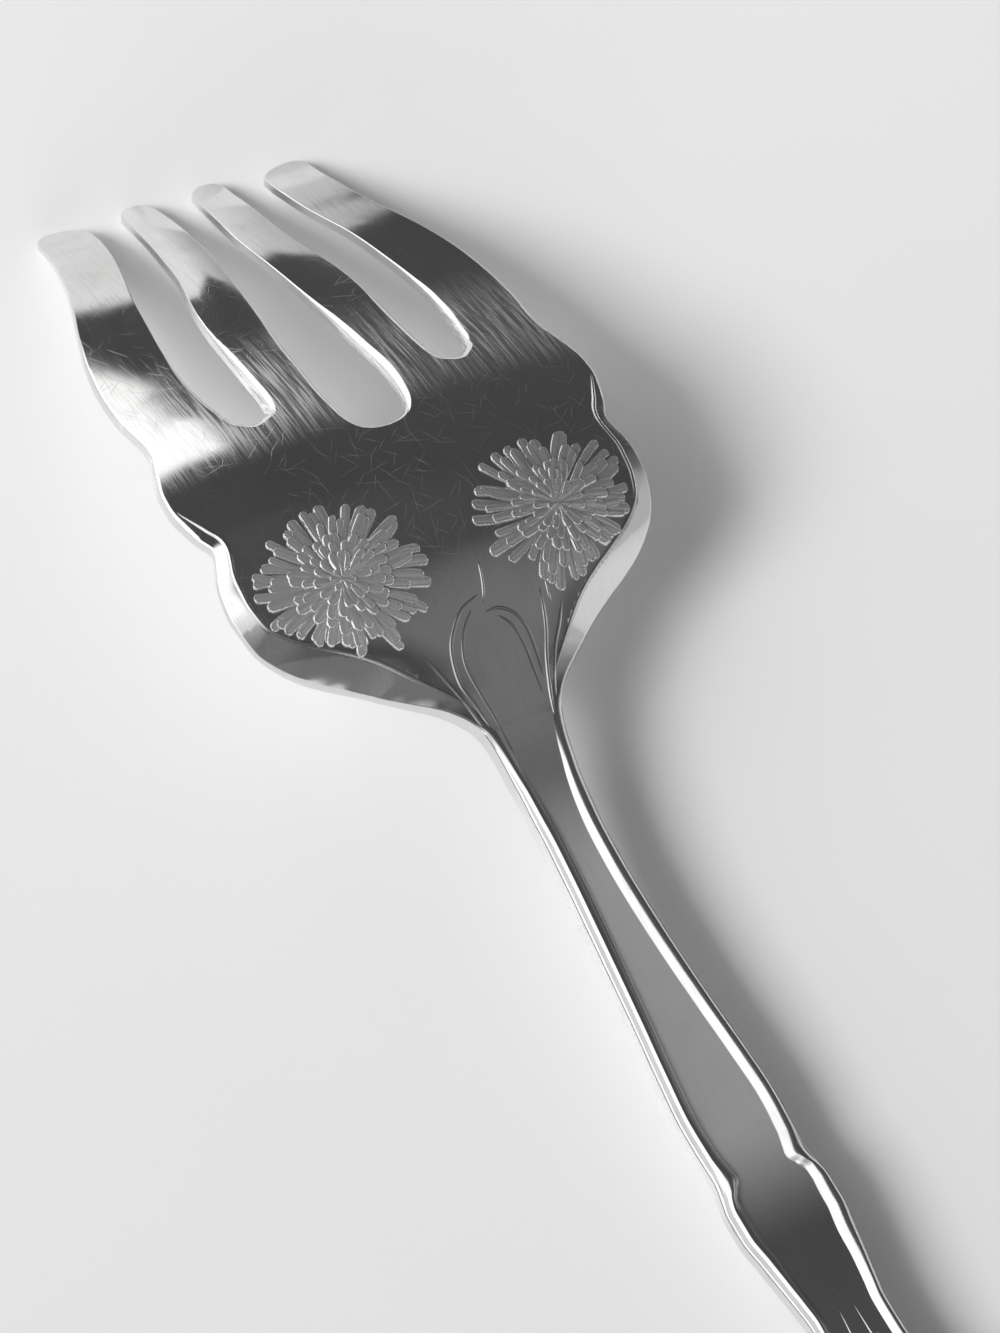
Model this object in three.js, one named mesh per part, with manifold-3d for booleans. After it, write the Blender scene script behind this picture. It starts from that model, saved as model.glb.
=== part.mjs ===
// Serving fork with four wide tines, lying back up on a flat surface.
// Millimetres. +Z is up, +Y runs from the handle end to the tine tips, X runs across.
// The origin is under the middle of the fork, on the surface that it lies on.
// The real fork is one struck blank. It is divided here into the regions a silversmith
// names (tines, bowl, neck, shank, end, rims, relief), with hairline planes between them.

import * as THREE from 'three';
import { mergeVertices } from 'three/addons/utils/BufferGeometryUtils.js';
import Module from 'manifold-3d';

// ---- driving dimensions -------------------------------------------------------------

const OVERALL_LENGTH = 211;          // handle end to tine tips, along the table
const MID = OVERALL_LENGTH / 2;      // stations below run from 0 at the handle end
const END_JOIN = 38;                 // station of the waist between handle end and shank
const NECK_JOIN = 109;               // shank to neck
const BOWL_JOIN = 122;               // neck to bowl
const TINE_JOIN = 167;               // bowl to tines
const HAIRLINE = 0.1;                // width of the dividing planes
const RELIEF_GAP = 0.15;             // under the raised flowers and rims

const FLOWER_X = 14.3;               // centre of each flower from the middle plane
const FLOWER_Y = 137.9;              // station of the flower centres
const FLOWER_ACROSS = 8.6;           // half sizes of the oval flower
const FLOWER_ALONG = 7.8;
const FLOWER_PETALS = 24;
const FLOWER_EDGE = 0.22;            // height of the relief at its edge
const FLOWER_CROWN = 0.5;            // and in the middle

const RIM_FROM = 6;                  // stations covered by the raised handle rims
const RIM_TO = 118;
const RIM_INSET = 0.25;              // from the outline to the rim's outer foot
const RIM_HEIGHT = 0.6;

const BORDER_WIDTH = 2.4;            // rolled-over border round the lower bowl
const SHOULDER_WIDTH = 8;            // wider strip in which the lobes droop towards the neck
const REST_FLAT_TO = 10;             // the handle end lies flat on the table up to here

// Height of the back surface along the middle plane.
const PROFILE = [
  [0, 2], [10, 2.6], [20, 4.2], [30, 6], [38, 6.95], [47, 7.05], [55, 6.78], [65.05, 6.92], [75.06, 7.22],
  [85.08, 7.62], [95.09, 8.32], [103.12, 9.36], [109.15, 10.64], [114.18, 12.24], [118.21, 13.86],
  [122.25, 15.68], [126.29, 17.5], [130.33, 19.32], [134.36, 21.04], [138.39, 22.46], [142.41, 23.38],
  [147.43, 23.98], [152.43, 23.83], [157.41, 23.08], [163.09, 21.67], [168.95, 19.55], [175.3, 17.12],
  [182.25, 14.38], [188.8, 11.75], [193.16, 9.86], [197.13, 8.08], [203.08, 5.36], [208.03, 2.76], [211, 1.3],
];
// How far the back surface falls away at 26 mm from the middle plane.
const SIDE_FALL = [
  [0, 0], [112, 0], [120, 0.5], [128, 1.6], [136, 2.3], [145, 2.3], [160, 2.3], [172, 2], [182, 1.3],
  [192, 0.6], [205, 0.1], [211, 0],
];
// Metal thickness, measured upright.
const THICKNESS = [
  [0, 2], [10, 2.6], [17, 2.6], [24, 2.4], [40, 2], [60, 2], [100, 2.4], [112, 2.7], [118, 2.6], [126, 2.2],
  [140, 1.9], [160, 1.8], [180, 1.7], [200, 1.5], [211, 1.3],
];
// Half width of the outline.
const HALF_WIDTH = [
  [0, 2.2], [0.8, 4.2], [3, 6.8], [8, 9.4], [15, 10.2], [22, 9], [30, 6.6], [36, 5], [40.14, 4.8],
  [42.54, 5.1], [45.64, 5.6], [48.94, 6.1], [52.24, 6.6], [55.15, 6.6], [57.55, 6.2], [59.55, 5.9], [62.25, 6],
  [66.46, 6.1], [72.46, 5.7], [79.07, 5.1], [85.68, 4.6], [91.99, 4.2], [98, 3.9], [102.92, 3.8],
  [106.13, 3.9], [109.25, 4], [111.46, 4.2], [113.58, 4.4], [115.59, 4.7], [117.41, 5.2], [118.92, 6.1],
  [120.43, 7.5], [122.05, 9.4], [123.97, 11.8], [125.99, 14.4], [127.8, 17.2], [129.42, 20.1], [131.03, 22.7],
  [132.95, 24.9], [134.97, 26.4], [137.29, 27.2], [139.7, 27.6], [142.01, 27.5], [143.92, 27.1],
  [145.52, 26.5], [147.03, 26.1], [149.03, 27], [151.73, 27.8], [153.92, 28.2], [156.52, 28.1], [159.41, 27.4],
  [161.5, 26.8], [163.19, 26.3], [164.98, 26.2], [167.56, 26.4], [170.83, 26.7], [174.41, 26.6],
  [177.59, 26.3], [180.07, 25.9], [182.85, 25.3], [185.62, 24.5], [188.2, 23.7], [191.18, 22.7],
  [193.96, 21.8], [197.63, 20.7], [201.29, 19.9], [204.56, 19.4], [208.03, 19.1], [211, 19],
];
// Edges of the slots: outer tine inner edge, inner tine outer edge, middle slot.
const OUTER_TINE_INNER_EDGE = [
  [161.89, 14], [163.49, 15.6], [166.27, 16.2], [169.84, 16.7], [174.41, 16.9], [179.27, 16.6], [184.83, 15.9],
  [190.88, 14.9], [196.04, 13.6], [199.81, 12.8], [202.98, 12.4], [205.45, 12.2], [211, 12.3],
];
const INNER_TINE_OUTER_EDGE = [
  [161.89, 13.2], [162.79, 11.6], [165.77, 11], [170.34, 10.8], [175, 10.6], [179.37, 10.4], [183.24, 10],
  [186.82, 9.4], [189.89, 8.7], [192.87, 8.2], [197.63, 7.8], [202.98, 7.5], [208.03, 7.3], [211, 7.4],
];
const MIDDLE_SLOT_HALF = [
  [154.72, 0], [154.92, 1.4], [156.12, 3.1], [158.71, 4], [163.09, 4.3], [168.95, 4], [175.5, 3.7],
  [182.45, 3.2], [188.8, 2.7], [193.36, 2.3], [197.23, 2.1], [203.08, 2.2], [208.03, 2.5], [211, 2.8],
];
// Width of the raised rims on the handle.
const RIM_WIDTH = [[0, 1.3], [45, 1.4], [60, 1.4], [75, 1.7], [93, 2.0], [105, 1.9], [112, 1.5], [118, 1.2]];
// Fall of the rolled border at the outline.
const BORDER_FALL = [
  [114.18, 0], [118.21, 0.25], [121.24, 0.7], [124.27, 1.5], [126.29, 1.95], [127.8, 2.05], [129.32, 1.95],
  [131.34, 1.65], [133.36, 1.35], [136.38, 1.05], [140.41, 0.8], [144.42, 0.55], [147.03, 0.4], [150.43, 0],
];
// Fall of the drooping strip at the outline.
const SHOULDER_FALL = [
  [117, 0], [121.24, 0.35], [124.27, 1.25], [126.29, 1.75], [127.8, 1.8], [129.32, 1.6], [131.34, 1.05],
  [133.36, 0.5], [137, 0],
];

// ---- curves through the stations -----------------------------------------------------

// Natural cubic spline, smooth to the second derivative.
function natural(knots) {
  const n = knots.length, x = knots.map(k => k[0]), y = knots.map(k => k[1]);
  const c = new Array(n).fill(0), d = new Array(n).fill(0), m = new Array(n).fill(0);
  for (let i = 1; i < n - 1; i++) {
    const a = x[i] - x[i - 1], b = x[i + 1] - x[i];
    const rhs = 6 * ((y[i + 1] - y[i]) / b - (y[i] - y[i - 1]) / a);
    const w = 2 * (a + b) - a * c[i - 1];
    c[i] = b / w;
    d[i] = (rhs - a * d[i - 1]) / w;
  }
  for (let i = n - 2; i > 0; i--) m[i] = d[i] - c[i] * m[i + 1];
  return t => {
    let i = 0;
    while (i < n - 2 && t > x[i + 1]) i++;
    const h = x[i + 1] - x[i], a = x[i + 1] - t, b = t - x[i];
    return m[i] * a ** 3 / (6 * h) + m[i + 1] * b ** 3 / (6 * h)
      + (y[i] / h - m[i] * h / 6) * a + (y[i + 1] / h - m[i + 1] * h / 6) * b;
  };
}

// Monotone cubic, which never overshoots its stations.
function monotone(knots) {
  const n = knots.length, x = knots.map(k => k[0]), y = knots.map(k => k[1]);
  const h = [], s = [], m = new Array(n).fill(0);
  for (let i = 0; i < n - 1; i++) { h.push(x[i + 1] - x[i]); s.push((y[i + 1] - y[i]) / h[i]); }
  for (let i = 1; i < n - 1; i++) {
    if (s[i - 1] * s[i] > 0) {
      const a = 2 * h[i] + h[i - 1], b = h[i] + 2 * h[i - 1];
      m[i] = (a + b) / (a / s[i - 1] + b / s[i]);
    }
  }
  m[0] = s[0];
  m[n - 1] = s[n - 2];
  return t => {
    let i = 0;
    while (i < n - 2 && t > x[i + 1]) i++;
    const u = Math.min(1, Math.max(0, (t - x[i]) / h[i]));
    return (1 + 2 * u) * (1 - u) ** 2 * y[i] + u * (1 - u) ** 2 * h[i] * m[i]
      + u * u * (3 - 2 * u) * y[i + 1] + u * u * (u - 1) * h[i] * m[i + 1];
  };
}

const profile = natural(PROFILE);
const sideFall = monotone(SIDE_FALL);
const thickness = monotone(THICKNESS);
const halfWidth = monotone(HALF_WIDTH);
const outerTineInner = monotone(OUTER_TINE_INNER_EDGE);
const innerTineOuter = monotone(INNER_TINE_OUTER_EDGE);
const middleSlot = monotone(MIDDLE_SLOT_HALF);
const borderFallAt = monotone(BORDER_FALL);
const shoulderFallAt = monotone(SHOULDER_FALL);
const rimWidth = monotone(RIM_WIDTH);

// Back surface without relief.
const field = (x, s) => profile(s) - sideFall(s) * (x / 26) ** 2;

// Slant of the outline, used to turn distances across into distances to the edge.
const slant = s => Math.sqrt(1 + ((halfWidth(s + 0.2) - halfWidth(s - 0.2)) / 0.4) ** 2);

const within = (s, table) => s > table[0][0] && s < table[table.length - 1][0];

function borderFall(x, s) {
  const inset = Math.max(0, (halfWidth(s) - Math.abs(x)) / slant(s));
  let fall = 0;
  if (within(s, BORDER_FALL) && inset < BORDER_WIDTH) fall += borderFallAt(s) * (1 - inset / BORDER_WIDTH) ** 1.2;
  if (within(s, SHOULDER_FALL) && inset < SHOULDER_WIDTH) fall += shoulderFallAt(s) * (1 - inset / SHOULDER_WIDTH) ** 2;
  return fall;
}

const back = (x, s) => field(x, s) - borderFall(x, s);
const front = (x, s) => s <= REST_FLAT_TO ? 0 : Math.max(0, back(x, s) - thickness(s));

// ---- solids ---------------------------------------------------------------------------

// A block of u by v cells, one cell thick, carried onto the fork by place(u, v, w).
function block(us, vs, place) {
  const g = new THREE.BoxGeometry(1, 1, 1, us.length - 1, vs.length - 1, 1);
  g.deleteAttribute('normal');
  g.deleteAttribute('uv');
  const m = mergeVertices(g, 1e-5), p = m.attributes.position;
  for (let i = 0; i < p.count; i++) {
    const u = us[Math.round((p.getX(i) + 0.5) * (us.length - 1))];
    const v = vs[Math.round((p.getY(i) + 0.5) * (vs.length - 1))];
    const q = place(u, v, p.getZ(i) > 0);
    p.setXYZ(i, q[0], q[1] - MID, q[2]);
  }
  m.computeVertexNormals();
  return m;
}

const steps = (a, b, n) => Array.from({ length: n + 1 }, (_, i) => a + (b - a) * i / n);

// A stretch of the blank between two stations, as wide as the outline.
function stretch(from, to, rows, us) {
  return block(us, steps(from, to, rows), (u, s, top) => {
    const x = u * halfWidth(s);
    return [x, s, top ? back(x, s) : front(x, s)];
  });
}

// A tine between two edges. Its end is rounded, and cut on a slant by lean.
function tine(left, right, tip, lean, rows) {
  const from = TINE_JOIN + HAIRLINE / 2;
  return block([-1, -0.8, -0.45, 0, 0.45, 0.8, 1], steps(0, 1, rows), (u, v, top) => {
    const end = tip + lean * u - 1.7 * Math.abs(u) ** 3.2;
    const s = from + (end - from) * (1 - (1 - v) ** 1.15);
    const x = (left(s) + right(s)) / 2 + u * (right(s) - left(s)) / 2;
    return [x, s, top ? field(x, s) : Math.max(0, field(x, s) - thickness(s))];
  });
}

// A half-round rim that follows the outline of the handle on one side.
function rim(side) {
  const us = side < 0 ? [1, 0.65, 0.35, 0] : [0, 0.35, 0.65, 1];
  return block(us, steps(RIM_FROM, RIM_TO, 40), (u, s, top) => {
    const x = side * (halfWidth(s) - (RIM_INSET + (1 - u) * rimWidth(s)) * slant(s));
    const foot = back(x, s) + RELIEF_GAP;
    return [x, s, top ? foot + 0.12 + RIM_HEIGHT * Math.sin(Math.PI * u) : foot];
  });
}

// A low flower: a turned disc with a petalled edge, laid onto the bowl.
function flower(side) {
  const profilePoints = [
    [0, 0], [0.34, 0], [0.67, 0], [1, 0],
    [1, FLOWER_EDGE], [0.67, FLOWER_EDGE + 0.1], [0.34, FLOWER_CROWN - 0.1], [0, FLOWER_CROWN],
  ].map(q => new THREE.Vector2(q[0], q[1]));
  const g = new THREE.LatheGeometry(profilePoints, FLOWER_PETALS * 2);
  g.deleteAttribute('normal');
  g.deleteAttribute('uv');
  g.rotateX(Math.PI / 2);
  const m = dropSlivers(mergeVertices(g, 1e-4)), p = m.attributes.position;
  for (let i = 0; i < p.count; i++) {
    const r = Math.hypot(p.getX(i), p.getY(i)), a = Math.atan2(p.getY(i), p.getX(i));
    const k = 1 - 0.09 * r ** 2 * (0.5 - 0.5 * Math.cos(FLOWER_PETALS * a));
    const x = side * FLOWER_X + p.getX(i) * k * FLOWER_ACROSS, s = FLOWER_Y + p.getY(i) * k * FLOWER_ALONG;
    p.setXYZ(i, x, s - MID, back(x, s) + RELIEF_GAP + p.getZ(i));
  }
  m.computeVertexNormals();
  return m;
}

// Triangles that collapse onto the axis of a turned shape are left out.
function dropSlivers(g) {
  const a = g.index.array, kept = [];
  for (let i = 0; i < a.length; i += 3) {
    if (a[i] !== a[i + 1] && a[i + 1] !== a[i + 2] && a[i] !== a[i + 2]) kept.push(a[i], a[i + 1], a[i + 2]);
  }
  g.setIndex(kept);
  return g;
}

const wasm = await Module();
wasm.setup();

function solid(g) {
  const c = g.clone();
  for (const name of Object.keys(c.attributes)) if (name !== 'position') c.deleteAttribute(name);
  const m = dropSlivers(mergeVertices(c, 1e-5));
  return new wasm.Manifold(new wasm.Mesh({
    numProp: 3,
    vertProperties: new Float32Array(m.attributes.position.array),
    triVerts: new Uint32Array(m.index.array),
  }));
}

function geometry(s) {
  const m = s.getMesh(), g = new THREE.BufferGeometry();
  g.setAttribute('position', new THREE.BufferAttribute(new Float32Array(m.vertProperties), 3));
  g.setIndex(Array.from(m.triVerts));
  g.computeVertexNormals();
  return g;
}

// A slot seen from above, from its round root to past the end of the bowl.
function slotCutter(leftEdge, rightEdge, root) {
  const top = TINE_JOIN + 3, stations = [root, root + 0.15, root + 0.5, root + 1.2, root + 2.2, root + 3.6];
  for (let s = root + 5.2; s < top - 0.8; s += 1.6) stations.push(s);
  stations.push(top);
  const outline = new THREE.Shape();
  const points = [
    ...stations.slice(1).map(s => [rightEdge(s), s]),
    ...stations.slice(1).reverse().map(s => [leftEdge(s), s]),
    [(leftEdge(root) + rightEdge(root)) / 2, root],
  ];
  points.forEach((q, i) => (i ? outline.lineTo(q[0], q[1] - MID) : outline.moveTo(q[0], q[1] - MID)));
  outline.closePath();
  const g = new THREE.ExtrudeGeometry(outline, { depth: 60, bevelEnabled: false, steps: 1 });
  g.translate(0, 0, -15);
  return solid(g);
}

function bowl() {
  const half = [0, 0.1, 0.2, 0.3, 0.4, 0.5, 0.6, 0.7, 0.78, 0.84, 0.89, 0.93, 0.97, 1];
  const us = [...half.slice(1).reverse().map(u => -u), ...half];
  let body = solid(stretch(BOWL_JOIN + HAIRLINE / 2, TINE_JOIN - HAIRLINE / 2, 26, us));
  body = body.subtract(slotCutter(s => -middleSlot(s), s => middleSlot(s), MIDDLE_SLOT_HALF[0][0]));
  const root = OUTER_TINE_INNER_EDGE[0][0];
  body = body.subtract(slotCutter(innerTineOuter, outerTineInner, root));
  body = body.subtract(slotCutter(s => -outerTineInner(s), s => -innerTineOuter(s), root));
  return geometry(body);
}

// ---- the fork ----------------------------------------------------------------------------

const silver = (color, roughness) => new THREE.MeshStandardMaterial({ color, roughness, metalness: 1 });

const fork = new THREE.Group();
function add(name, g, material) {
  const mesh = new THREE.Mesh(g, material);
  mesh.name = name;
  fork.add(mesh);
}

const across = [-1, -0.8, -0.4, 0, 0.4, 0.8, 1];

add('tine_outer_left', tine(s => -halfWidth(s), s => -outerTineInner(s), 210.3, -0.7, 18), silver(0xcfd0d2, 0.2));
add('tine_inner_left', tine(s => -innerTineOuter(s), s => -middleSlot(s), 211, 0, 18), silver(0xcfd0d2, 0.2));
add('tine_inner_right', tine(middleSlot, innerTineOuter, 211, 0, 18), silver(0xcfd0d2, 0.2));
add('tine_outer_right', tine(outerTineInner, halfWidth, 210.3, 0.7, 18), silver(0xcfd0d2, 0.2));
add('bowl', bowl(), silver(0xc8c9cb, 0.24));
add('flower_left', flower(-1), silver(0xbdbec0, 0.3));
add('flower_right', flower(1), silver(0xbdbec0, 0.3));
add('neck', stretch(NECK_JOIN + HAIRLINE / 2, BOWL_JOIN - HAIRLINE / 2, 10, across), silver(0xc8c9cb, 0.24));
add('handle_shank', stretch(END_JOIN + HAIRLINE / 2, NECK_JOIN - HAIRLINE / 2, 28, across), silver(0xc8c9cb, 0.26));
add('handle_end', stretch(0, END_JOIN - HAIRLINE / 2, 22, across), silver(0xc8c9cb, 0.26));
add('rim_left', rim(-1), silver(0xd4d5d7, 0.2));
add('rim_right', rim(1), silver(0xd4d5d7, 0.2));

export default fork;
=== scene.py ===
import math

import bpy
import numpy as np
from mathutils import Matrix, Vector
from mathutils.geometry import delaunay_2d_cdt
from mathutils.kdtree import KDTree


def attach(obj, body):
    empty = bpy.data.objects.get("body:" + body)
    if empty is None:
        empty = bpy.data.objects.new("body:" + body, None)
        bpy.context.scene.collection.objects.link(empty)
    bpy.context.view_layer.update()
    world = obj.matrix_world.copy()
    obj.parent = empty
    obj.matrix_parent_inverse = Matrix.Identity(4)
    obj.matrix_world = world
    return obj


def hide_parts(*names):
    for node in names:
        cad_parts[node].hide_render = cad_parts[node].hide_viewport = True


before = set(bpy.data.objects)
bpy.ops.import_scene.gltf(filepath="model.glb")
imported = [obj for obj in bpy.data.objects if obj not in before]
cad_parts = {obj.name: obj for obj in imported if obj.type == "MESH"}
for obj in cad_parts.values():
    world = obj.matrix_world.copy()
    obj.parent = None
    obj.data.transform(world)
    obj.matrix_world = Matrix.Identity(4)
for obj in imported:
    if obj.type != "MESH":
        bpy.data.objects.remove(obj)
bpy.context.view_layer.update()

# Everything below is worked out in millimetres, with stations s running from 0 at the
# handle end to 211 at the tine tips, and goes into the meshes in metres.
LENGTH = 211.0
MID = LENGTH / 2
MM = 0.001

# ---- curves through stations -----------------------------------------------------------

PROFILE = [
    (0, 2), (10, 2.6), (20, 4.2), (30, 6), (38, 6.95), (47, 7.05), (55, 6.78), (65.05, 6.92), (75.06, 7.22),
    (85.08, 7.62), (95.09, 8.32), (103.12, 9.36), (109.15, 10.64), (114.18, 12.24), (118.21, 13.86),
    (122.25, 15.68), (126.29, 17.5), (130.33, 19.32), (134.36, 21.04), (138.39, 22.46), (142.41, 23.38),
    (147.43, 23.98), (152.43, 23.83), (157.41, 23.08), (163.09, 21.67), (168.95, 19.55), (175.3, 17.12),
    (182.25, 14.38), (188.8, 11.75), (193.16, 9.86), (197.13, 8.08), (203.08, 5.36), (208.03, 2.76),
    (211, 1.3),
]
SIDE_FALL = [
    (0, 0), (112, 0), (120, 0.5), (128, 1.6), (136, 2.3), (145, 2.3), (160, 2.3), (172, 2), (182, 1.3),
    (192, 0.6), (205, 0.1), (211, 0),
]
THICKNESS = [
    (0, 2), (10, 2.6), (17, 2.6), (24, 2.4), (40, 2), (60, 2), (100, 2.4), (112, 2.7), (118, 2.6), (126, 2.2),
    (140, 1.9), (160, 1.8), (180, 1.7), (200, 1.5), (211, 1.3),
]
HALF_WIDTH = [
    (0, 0), (0.03, 1), (0.2, 2.5), (0.8, 4.4), (3, 6.9), (8, 9.4), (15, 10.2), (22, 9), (30, 6.6), (36, 5),
    (40.14, 4.8), (42.54, 5.1), (45.64, 5.6), (48.94, 6.1), (52.24, 6.6), (55.15, 6.6), (57.55, 6.2),
    (59.55, 5.9), (62.25, 6), (66.46, 6.1), (72.46, 5.7), (79.07, 5.1), (85.68, 4.6), (91.99, 4.2), (98, 3.9),
    (102.92, 3.8), (106.13, 3.9), (109.25, 4), (111.46, 4.2), (113.58, 4.4), (115.59, 4.7), (117.41, 5.2),
    (118.92, 6.1), (120.43, 7.5), (122.05, 9.4), (123.97, 11.8), (125.99, 14.4), (127.8, 17.2), (129.42, 20.1),
    (131.03, 22.7), (132.95, 24.9), (134.97, 26.4), (137.29, 27.2), (139.7, 27.6), (142.01, 27.5),
    (143.92, 27.1), (145.52, 26.5), (147.03, 26.1), (149.03, 27), (151.73, 27.8), (153.92, 28.2),
    (156.52, 28.1), (159.41, 27.4), (161.5, 26.8), (163.19, 26.3), (164.98, 26.2), (167.56, 26.4),
    (170.83, 26.7), (174.41, 26.6), (177.59, 26.3), (180.07, 25.9), (182.85, 25.3), (185.62, 24.5),
    (188.2, 23.7), (191.18, 22.7), (193.96, 21.8), (197.63, 20.7), (201.29, 19.9), (204.56, 19.4),
    (208.03, 19.1), (211, 19),
]
OUTER_TINE_INNER_EDGE = [
    (161.89, 14), (163.49, 15.6), (166.27, 16.2), (169.84, 16.7), (174.41, 16.9), (179.27, 16.6),
    (184.83, 15.9), (190.88, 14.9), (196.04, 13.6), (199.81, 12.8), (202.98, 12.4), (205.45, 12.2),
    (211, 12.3),
]
INNER_TINE_OUTER_EDGE = [
    (161.89, 13.2), (162.79, 11.6), (165.77, 11), (170.34, 10.8), (175, 10.6), (179.37, 10.4), (183.24, 10),
    (186.82, 9.4), (189.89, 8.7), (192.87, 8.2), (197.63, 7.8), (202.98, 7.5), (208.03, 7.3), (211, 7.4),
]
MIDDLE_SLOT_HALF = [
    (154.72, 0), (154.92, 1.4), (156.12, 3.1), (158.71, 4), (163.09, 4.3), (168.95, 4), (175.5, 3.7),
    (182.45, 3.2), (188.8, 2.7), (193.36, 2.3), (197.23, 2.1), (203.08, 2.2), (208.03, 2.5), (211, 2.8),
]
# Rolled border of the lower bowl: how wide it is and how far it falls at the outline.
BORDER_WIDTH = [
    (112.17, 0.8), (118.21, 1.15), (121.24, 1.5), (124.27, 2.05), (127.3, 2.5), (130.33, 2.6), (133.36, 2.45),
    (136.38, 2.2), (140.41, 2.1), (144.42, 1.7), (147.03, 1.45), (149.43, 1.3), (152.43, 0.75), (154.92, 0.25),
]
BORDER_FALL = [
    (112.17, 0), (118.21, 0.25), (121.24, 0.7), (124.27, 1.5), (126.29, 1.95), (127.8, 2.05), (129.32, 1.95),
    (131.34, 1.65), (133.36, 1.35), (136.38, 1.05), (140.41, 0.8), (144.42, 0.6), (147.03, 0.5), (150.43, 0.3), (154.92, 0),
]
# The lobes also droop towards the neck, over a wider strip.
SHOULDER_WIDTH = 8.0
SHOULDER_FALL = [
    (117, 0), (121.24, 0.35), (124.27, 1.25), (126.29, 1.75), (127.8, 1.8), (129.32, 1.6), (131.34, 1.05), (133.36, 0.5), (137, 0),
]
# Rounding of the upper edge.
EDGE_RADIUS = [
    (0, 0.5), (112, 0.5), (118, 0.3), (124, 0.2), (146, 0.2), (152, 0.55), (156, 0.95), (163, 1.2), (170, 1.1),
    (175, 0.8), (179, 0.42), (184, 0.24), (194, 0.18), (211, 0.18),
]
LOWER_EDGE_RADIUS = 0.2
# Raised rims of the handle: width of the outer slope, of the inner slope, and the height of the crest.
RIM_OUTER = [
    (0, 1.0), (40, 0.85), (50, 0.9), (55.5, 0.9), (57, 1.05), (58.2, 1.45), (59, 1.5), (60, 1.25), (62, 0.95),
    (66, 0.9), (75, 0.9), (93, 0.95), (105, 0.95), (112, 0.8), (119, 0.5),
]
RIM_INNER = [
    (0, 1.2), (41, 0.95), (45.2, 1.1), (48.6, 1.4), (52, 1.45), (55.9, 1.2), (57.4, 0.85), (58.3, 0.9), (59, 1.25),
    (59.6, 1.4), (61, 1.4), (66, 1.3), (75, 1.3), (93, 1.4), (105, 1.3), (112, 0.9), (119, 0.5),
]
RIM_CREST = [(0, 0.55), (8, 0.72), (40, 0.8), (60, 0.88), (100, 0.85), (108, 0.66), (114, 0.32), (119, 0.0)]

CUTS = [38.0, 109.0, 122.0, 167.0]


def natural(knots):
    x = np.array([k[0] for k in knots], float)
    y = np.array([k[1] for k in knots], float)
    n = len(x)
    c, d, m = np.zeros(n), np.zeros(n), np.zeros(n)
    for i in range(1, n - 1):
        a, b = x[i] - x[i - 1], x[i + 1] - x[i]
        rhs = 6 * ((y[i + 1] - y[i]) / b - (y[i] - y[i - 1]) / a)
        w = 2 * (a + b) - a * c[i - 1]
        c[i], d[i] = b / w, (rhs - a * d[i - 1]) / w
    for i in range(n - 2, 0, -1):
        m[i] = d[i] - c[i] * m[i + 1]

    def f(t):
        t = np.asarray(t, float)
        i = np.searchsorted(x[1:-1], t, side="left")
        h, a, b = x[i + 1] - x[i], x[i + 1] - t, t - x[i]
        return (m[i] * a ** 3 / (6 * h) + m[i + 1] * b ** 3 / (6 * h)
                + (y[i] / h - m[i] * h / 6) * a + (y[i + 1] / h - m[i + 1] * h / 6) * b)
    return f


def monotone(knots):
    x = np.array([k[0] for k in knots], float)
    y = np.array([k[1] for k in knots], float)
    h = np.diff(x)
    s = np.diff(y) / h
    m = np.zeros(len(x))
    for i in range(1, len(x) - 1):
        if s[i - 1] * s[i] > 0:
            a, b = 2 * h[i] + h[i - 1], h[i] + 2 * h[i - 1]
            m[i] = (a + b) / (a / s[i - 1] + b / s[i])
    m[0], m[-1] = s[0], s[-1]

    def f(t):
        t = np.asarray(t, float)
        i = np.searchsorted(x[1:-1], t, side="left")
        u = np.clip((t - x[i]) / h[i], 0, 1)
        return ((1 + 2 * u) * (1 - u) ** 2 * y[i] + u * (1 - u) ** 2 * h[i] * m[i]
                + u * u * (3 - 2 * u) * y[i + 1] + u * u * (u - 1) * h[i] * m[i + 1])
    return f


profile, side_fall, thickness = natural(PROFILE), monotone(SIDE_FALL), monotone(THICKNESS)
half_width = monotone(HALF_WIDTH)
outer_tine_inner, inner_tine_outer = monotone(OUTER_TINE_INNER_EDGE), monotone(INNER_TINE_OUTER_EDGE)
middle_slot = monotone(MIDDLE_SLOT_HALF)
border_width, border_fall = monotone(BORDER_WIDTH), monotone(BORDER_FALL)
shoulder_fall = monotone(SHOULDER_FALL)
edge_round = monotone(EDGE_RADIUS)
rim_outer, rim_inner, rim_crest = monotone(RIM_OUTER), monotone(RIM_INNER), monotone(RIM_CREST)


def smooth(a, b, t):
    u = np.clip((np.asarray(t, float) - a) / (b - a), 0, 1)
    return u * u * (3 - 2 * u)


# ---- outline ------------------------------------------------------------------------------

def tip(left, right, end, lean):
    u = np.linspace(1, -1, 160)
    s = end + lean * u - 1.7 * np.abs(u) ** 3.2
    return np.stack([(left(s) + right(s)) / 2 + u * (right(s) - left(s)) / 2, s], 1)


def half_outline():
    s0 = np.concatenate([np.linspace(0, 1, 200) ** 2 * 3, np.linspace(3, 209.3, 5200)[1:]])
    root, end = OUTER_TINE_INNER_EDGE[0][0], MIDDLE_SLOT_HALF[0][0]
    down = np.linspace(207.9, root, 1400)
    up = np.linspace(root, 209.3, 1400)
    last = np.concatenate([np.linspace(209.3, end + 1.4, 1600), end + 1.4 * np.linspace(1, 0, 160)[1:] ** 2])
    return np.concatenate([
        np.stack([half_width(s0), s0], 1),
        tip(outer_tine_inner, half_width, 210.3, 0.7)[1:],
        np.stack([outer_tine_inner(down), down], 1)[1:],
        np.stack([inner_tine_outer(up), up], 1),
        tip(middle_slot, inner_tine_outer, 211.0, 0.0)[1:],
        np.stack([middle_slot(last), last], 1)[1:],
    ])


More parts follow.
